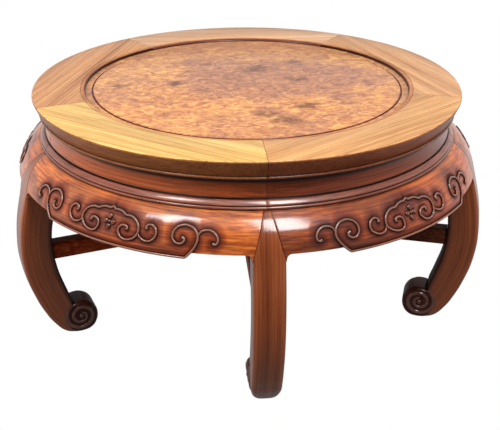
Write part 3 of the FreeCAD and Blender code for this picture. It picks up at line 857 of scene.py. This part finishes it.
def frame_wood(name, shade, turn, seed):
    """Golden wood with painted shade on the rim and on the wall of the opening, browner on the lip round the
    opening.
    """
    material, tree = new_finish(name)
    red, green, blue = shade
    dark = colour(0.82 * red, 0.73 * green, 0.63 * blue)
    pale = colour(1.1 * red, 1.12 * green, 1.14 * blue)
    tint, pores = straight_grain(tree, dark, colour(*shade), pale, turn=turn, seed=seed)
    away, height = from_axis(tree)
    lip = add(tree, "ShaderNodeMapRange", Value=away, From_Min=lip_line * mm, From_Max=(lip_line + 1) * mm)
    level = add(
        tree, "ShaderNodeMapRange", Value=height, From_Min=(frame_top - 2) * mm,
        From_Max=(frame_top - 0.8) * mm,
    )
    wall = add(
        tree, "ShaderNodeMapRange", Value=away, From_Min=(opening + 0.5) * mm, From_Max=(opening + 2) * mm
    )
    lip_shade = ramp(tree, lip.outputs["Result"], (0, colour(232, 206, 194)), (1, white))
    # Painted shade: the wall of the opening is darkened.
    painted_wall_shade = ramp(tree, wall.outputs["Result"], (0, colour(160, 146, 138)), (1, white))
    # Painted shade: the rim and everything below the top are darkened.
    painted_rim_shade = ramp(tree, level.outputs["Result"], (0, colour(166, 124, 120)), (1, white))
    for shaded in (lip_shade, painted_wall_shade, painted_rim_shade):
        tint = stain(tree, tint, shaded)
    polish(tree, tint, pores, gloss=0.34, coat=0.25)
    return material


for number in sides:
    segment_wood = frame_wood(f"frame_wood_{number}", frame_shades[number], side_grain(number), 10 + number)
    lip_outline = worn_lip if number == worn_segment else crisp_lip
    frame_bm = curved_length(groove + lip_outline + rim_outline, 0.4)
    set_up(
        f"top_segment_{number}", frame_bm, side_turn(number), [segment_wood], "frame_wood",
        f"top_frame_segment_{number}",
    )
    frame_bm.free()

# Splines and battens
# Loose splines lie hidden in the joints of the frame. Two battens slide into the panel's underside on a
# dovetail and are tenoned into the frame; they are left plain from the plane.
plain_wood = straight_wood(
    "plain_wood", colour(120, 82, 54), colour(158, 114, 78), colour(186, 144, 104), gloss=0.55, coat=0
)
for name in [f"frame_spline_{number}" for number in sides] + ["panel_batten_1", "panel_batten_2"]:
    nodes[name].material_slots[0].material = plain_wood

# Burl panel
# One round board of burl floats in the frame's groove. Its raised field has a rounded edge with a fine
# quirk round it, and its low margin runs under the frame's lip.
field, field_top = 303, 477
margin, margin_top, margin_low = 326, 475.5, 468.5
panel_bottom = 465
quirk_wide, quirk_deep = 1.8, 1.2
knots = [                  # greyer smudges in the burl: place and size
    (-145, 10, 40), (108, 141, 40), (103, 22, 46), (18, -181, 46), (99, -143, 50), (54, -216, 60),
    (-251, 4, 36), (24, 96, 60),
]
greyer = (60, 20, 150)     # place and size of a wide patch that is greyer than the rest
panel_outline = [
    (0, field_top), (field - 2, field_top), (field - 0.6, field_top - 0.5), (field, field_top - 1.4),
    (field + 0.3, margin_top - quirk_deep), (field + quirk_wide, margin_top - quirk_deep),
    (field + quirk_wide + 0.8, margin_top), (margin, margin_top), (margin, margin_low),
    (field, margin_low), (field, panel_bottom), (0, panel_bottom),
]
panel_bm = bmesh.new()
corners = [panel_bm.verts.new((radius, 0, height)) for radius, height in panel_outline]
edges = [panel_bm.edges.new(pair) for pair in zip(corners, corners[1:])]
bmesh.ops.spin(
    panel_bm, geom=edges, cent=(0, 0, 0), axis=(0, 0, 1), dvec=(0, 0, 0),
    angle=2 * pi, steps=256, use_merge=True,
)
bmesh.ops.remove_doubles(panel_bm, verts=panel_bm.verts, dist=0.001)
bmesh.ops.recalc_face_normals(panel_bm, faces=panel_bm.faces)


def burl_wood(name):
    """Burl: wavy flecks from grey-brown through orange to yellow, with greyer patches, dark smudges and
    painted shade in the quirk round the field.
    """
    material, tree = new_finish(name)
    flecks = grain_noise(tree, (0.035, 0.023, 0.023), turn=0.05, detail=5, seed=31, distortion=2.2)
    smudges = grain_noise(tree, (0.02, 0.012, 0.012), turn=0.05, detail=3, seed=47, distortion=1)
    patches = grain_noise(tree, (0.13, 0.1, 0.1), turn=0.1, detail=3, seed=34, distortion=0.8)
    pores = grain_noise(tree, (0.006, 0.002, 0.002), turn=0, detail=2, seed=40)
    specks = grain_noise(tree, (0.009, 0.006, 0.006), turn=0.05, detail=2, seed=52)
    warm = ramp(
        tree, flecks, (0.34, colour(136, 85, 60)), (0.46, colour(158, 106, 69)),
        (0.55, colour(172, 122, 75)), (0.66, colour(189, 144, 83)),
    )
    grey = ramp(
        tree, flecks, (0.34, colour(114, 75, 61)), (0.46, colour(134, 91, 70)),
        (0.55, colour(148, 101, 74)), (0.66, colour(166, 120, 82)),
    )
    place = add(tree, "ShaderNodeTexCoord").outputs["Object"]

    def spot(x, y, size, figure, kind):
        """A soft round spot on the board, added to or multiplied by the figure of the wood."""
        laid = add(
            tree, "ShaderNodeMapping", {"vector_type": "TEXTURE"}, Vector=place,
            Location=(x * mm, y * mm, field_top * mm), Scale=(1.5 * size * mm, size * mm, size * mm),
        )
        fade = add(
            tree, "ShaderNodeTexGradient", {"gradient_type": "SPHERICAL"}, Vector=laid.outputs["Vector"]
        )
        joined = add(tree, "ShaderNodeMath", {"operation": kind})
        tree.links.new(fade.outputs["Fac"], joined.inputs[0])
        tree.links.new(figure, joined.inputs[1])
        return joined.outputs["Value"]

    share = ramp(tree, spot(*greyer, patches, "ADD"), (0.42, white), (0.7, colour(0, 0, 0)))
    tint = add(tree, "ShaderNodeMixRGB", Fac=share, Color1=grey, Color2=warm).outputs["Color"]
    for x, y, size in knots:
        smudge = spot(x, y, size, smudges, "MULTIPLY")
        tint = stain(tree, tint, ramp(tree, smudge, (0.28, white), (0.44, colour(184, 180, 182))))
    tint = stain(tree, tint, ramp(tree, specks, (0.32, colour(222, 206, 200)), (0.48, white)))
    edge = add(
        tree, "ShaderNodeMapRange", Value=from_axis(tree)[0], From_Min=(field - quirk_wide) * mm,
        From_Max=(field + 2 * quirk_wide) * mm,
    )
    # Painted shade: a dark ring in the quirk round the field.
    painted_shade = colour(158, 98, 84)
    painted_quirk_shade = ramp(tree, edge.outputs["Result"], (0, white), (0.35, painted_shade), (0.65, painted_shade), (1, white))
    polish(tree, stain(tree, tint, painted_quirk_shade), pores, gloss=0.34, coat=0.25)
    return material


set_up("burl_board", panel_bm, 0, [burl_wood("burl")], "burl", "burl_panel")
panel_bm.free()

# Studio
# A plain white floor and walls, bright behind and beside the table and dim in front of it, with two soft
# lights overhead, a weaker one at each side and a low one in front. The camera stands a little to the left.
room_front, room_back, room_sides = 0.08, 0.55, 0.32
floor_half = 6
side_start = 0.4           # share of the way out at which the sides begin to brighten
floor_bm = bmesh.new()
bmesh.ops.create_grid(floor_bm, x_segments=1, y_segments=1, size=floor_half)
floor_mesh = bpy.data.meshes.new("floor")
floor_bm.to_mesh(floor_mesh)
floor_bm.free()
floor = bpy.data.objects.new("floor", floor_mesh)
bpy.context.collection.objects.link(floor)


def white_glow(tree, coordinates, near, far):
    """Brightness that grows to the back and the sides, and is plain white where the camera looks at it."""
    place = add(tree, "ShaderNodeSeparateXYZ", Vector=add(tree, "ShaderNodeTexCoord").outputs[coordinates])
    depth = add(
        tree, "ShaderNodeMapRange", Value=place.outputs["Y"], From_Min=near, From_Max=far,
        To_Min=room_front, To_Max=room_back,
    )
    looked_at = add(tree, "ShaderNodeLightPath").outputs["Is Camera Ray"]

    def reckon(kind, *values):
        node = add(tree, "ShaderNodeMath", {"operation": kind})
        for value, socket in zip(values, node.inputs):
            tree.links.new(value, socket)
        return node.outputs["Value"]

    beside = add(
        tree, "ShaderNodeMapRange", Value=reckon("ABSOLUTE", place.outputs["X"]),
        From_Min=side_start * far, From_Max=far, To_Min=0, To_Max=room_sides,
    )
    glow = reckon("ADD", depth.outputs["Result"], beside.outputs["Result"])
    return reckon("MAXIMUM", glow, looked_at)


floor_paint, tree = new_finish("floor_paint")
light = add(tree, "ShaderNodeEmission", Strength=white_glow(tree, "Object", -1.2, 1.2))
tree.links.new(light.outputs["Emission"], tree.nodes["Material Output"].inputs["Surface"])
floor_mesh.materials.append(floor_paint)
world = bpy.data.worlds.new("studio")
world.use_nodes = True
tree = world.node_tree
tree.nodes["Background"].inputs["Color"].default_value = white
tree.links.new(white_glow(tree, "Generated", -0.8, 0.8), tree.nodes["Background"].inputs["Strength"])


def soft_light(name, place, aim, size, power):
    """A wide rectangular lamp that looks at a point."""
    lamp = bpy.data.lights.new(name, "AREA")
    lamp.shape = "RECTANGLE"
    lamp.size, lamp.size_y = size
    lamp.energy = power
    holder = bpy.data.objects.new(name, lamp)
    holder.location = place
    holder.rotation_euler = (Vector(aim) - Vector(place)).to_track_quat("-Z", "Y").to_euler()
    bpy.context.collection.objects.link(holder)
    return holder


top_of_table, side_of_table, foot_of_table = (0, -0.1, 0.4), (0, 0, 0.35), (0, 0, 0.25)
soft_light("overhead_left", (-1.75, -1.3, 3.6), top_of_table, (0.9, 1.2), 86)
soft_light("overhead_right", (0.69, -2.1, 3.6), top_of_table, (1.15, 2.2), 188)
fills = [
    soft_light("left_side", (-2.5, -0.5, 1.4), side_of_table, (1.2, 1.2), 88),
    soft_light("right_side", (2.5, -0.3, 1.4), side_of_table, (1.2, 1.2), 68),
    soft_light("bounce", (0, -2.2, 0.15), foot_of_table, (2.4, 0.3), 9),
]
for fill in fills:
    fill.visible_glossy = False
scene = bpy.context.scene
scene.world = world
scene.view_settings.view_transform = "Standard"

camera_place = (-0.1514, -1.8412, 1.0714)
heading, look_down, roll = -4.908, 25.58, 0.125    # degrees
camera_data = bpy.data.cameras.new("camera")
camera_data.lens = 69.58
camera_data.sensor_width = 36
camera = bpy.data.objects.new("camera", camera_data)
stand = Matrix.Translation(camera_place)
for angle, axis in ((heading, "Z"), (90 - look_down, "X"), (roll, "Z")):
    stand = stand @ Matrix.Rotation(radians(angle), 4, axis)
camera.matrix_world = stand
bpy.context.collection.objects.link(camera)
scene.camera = camera
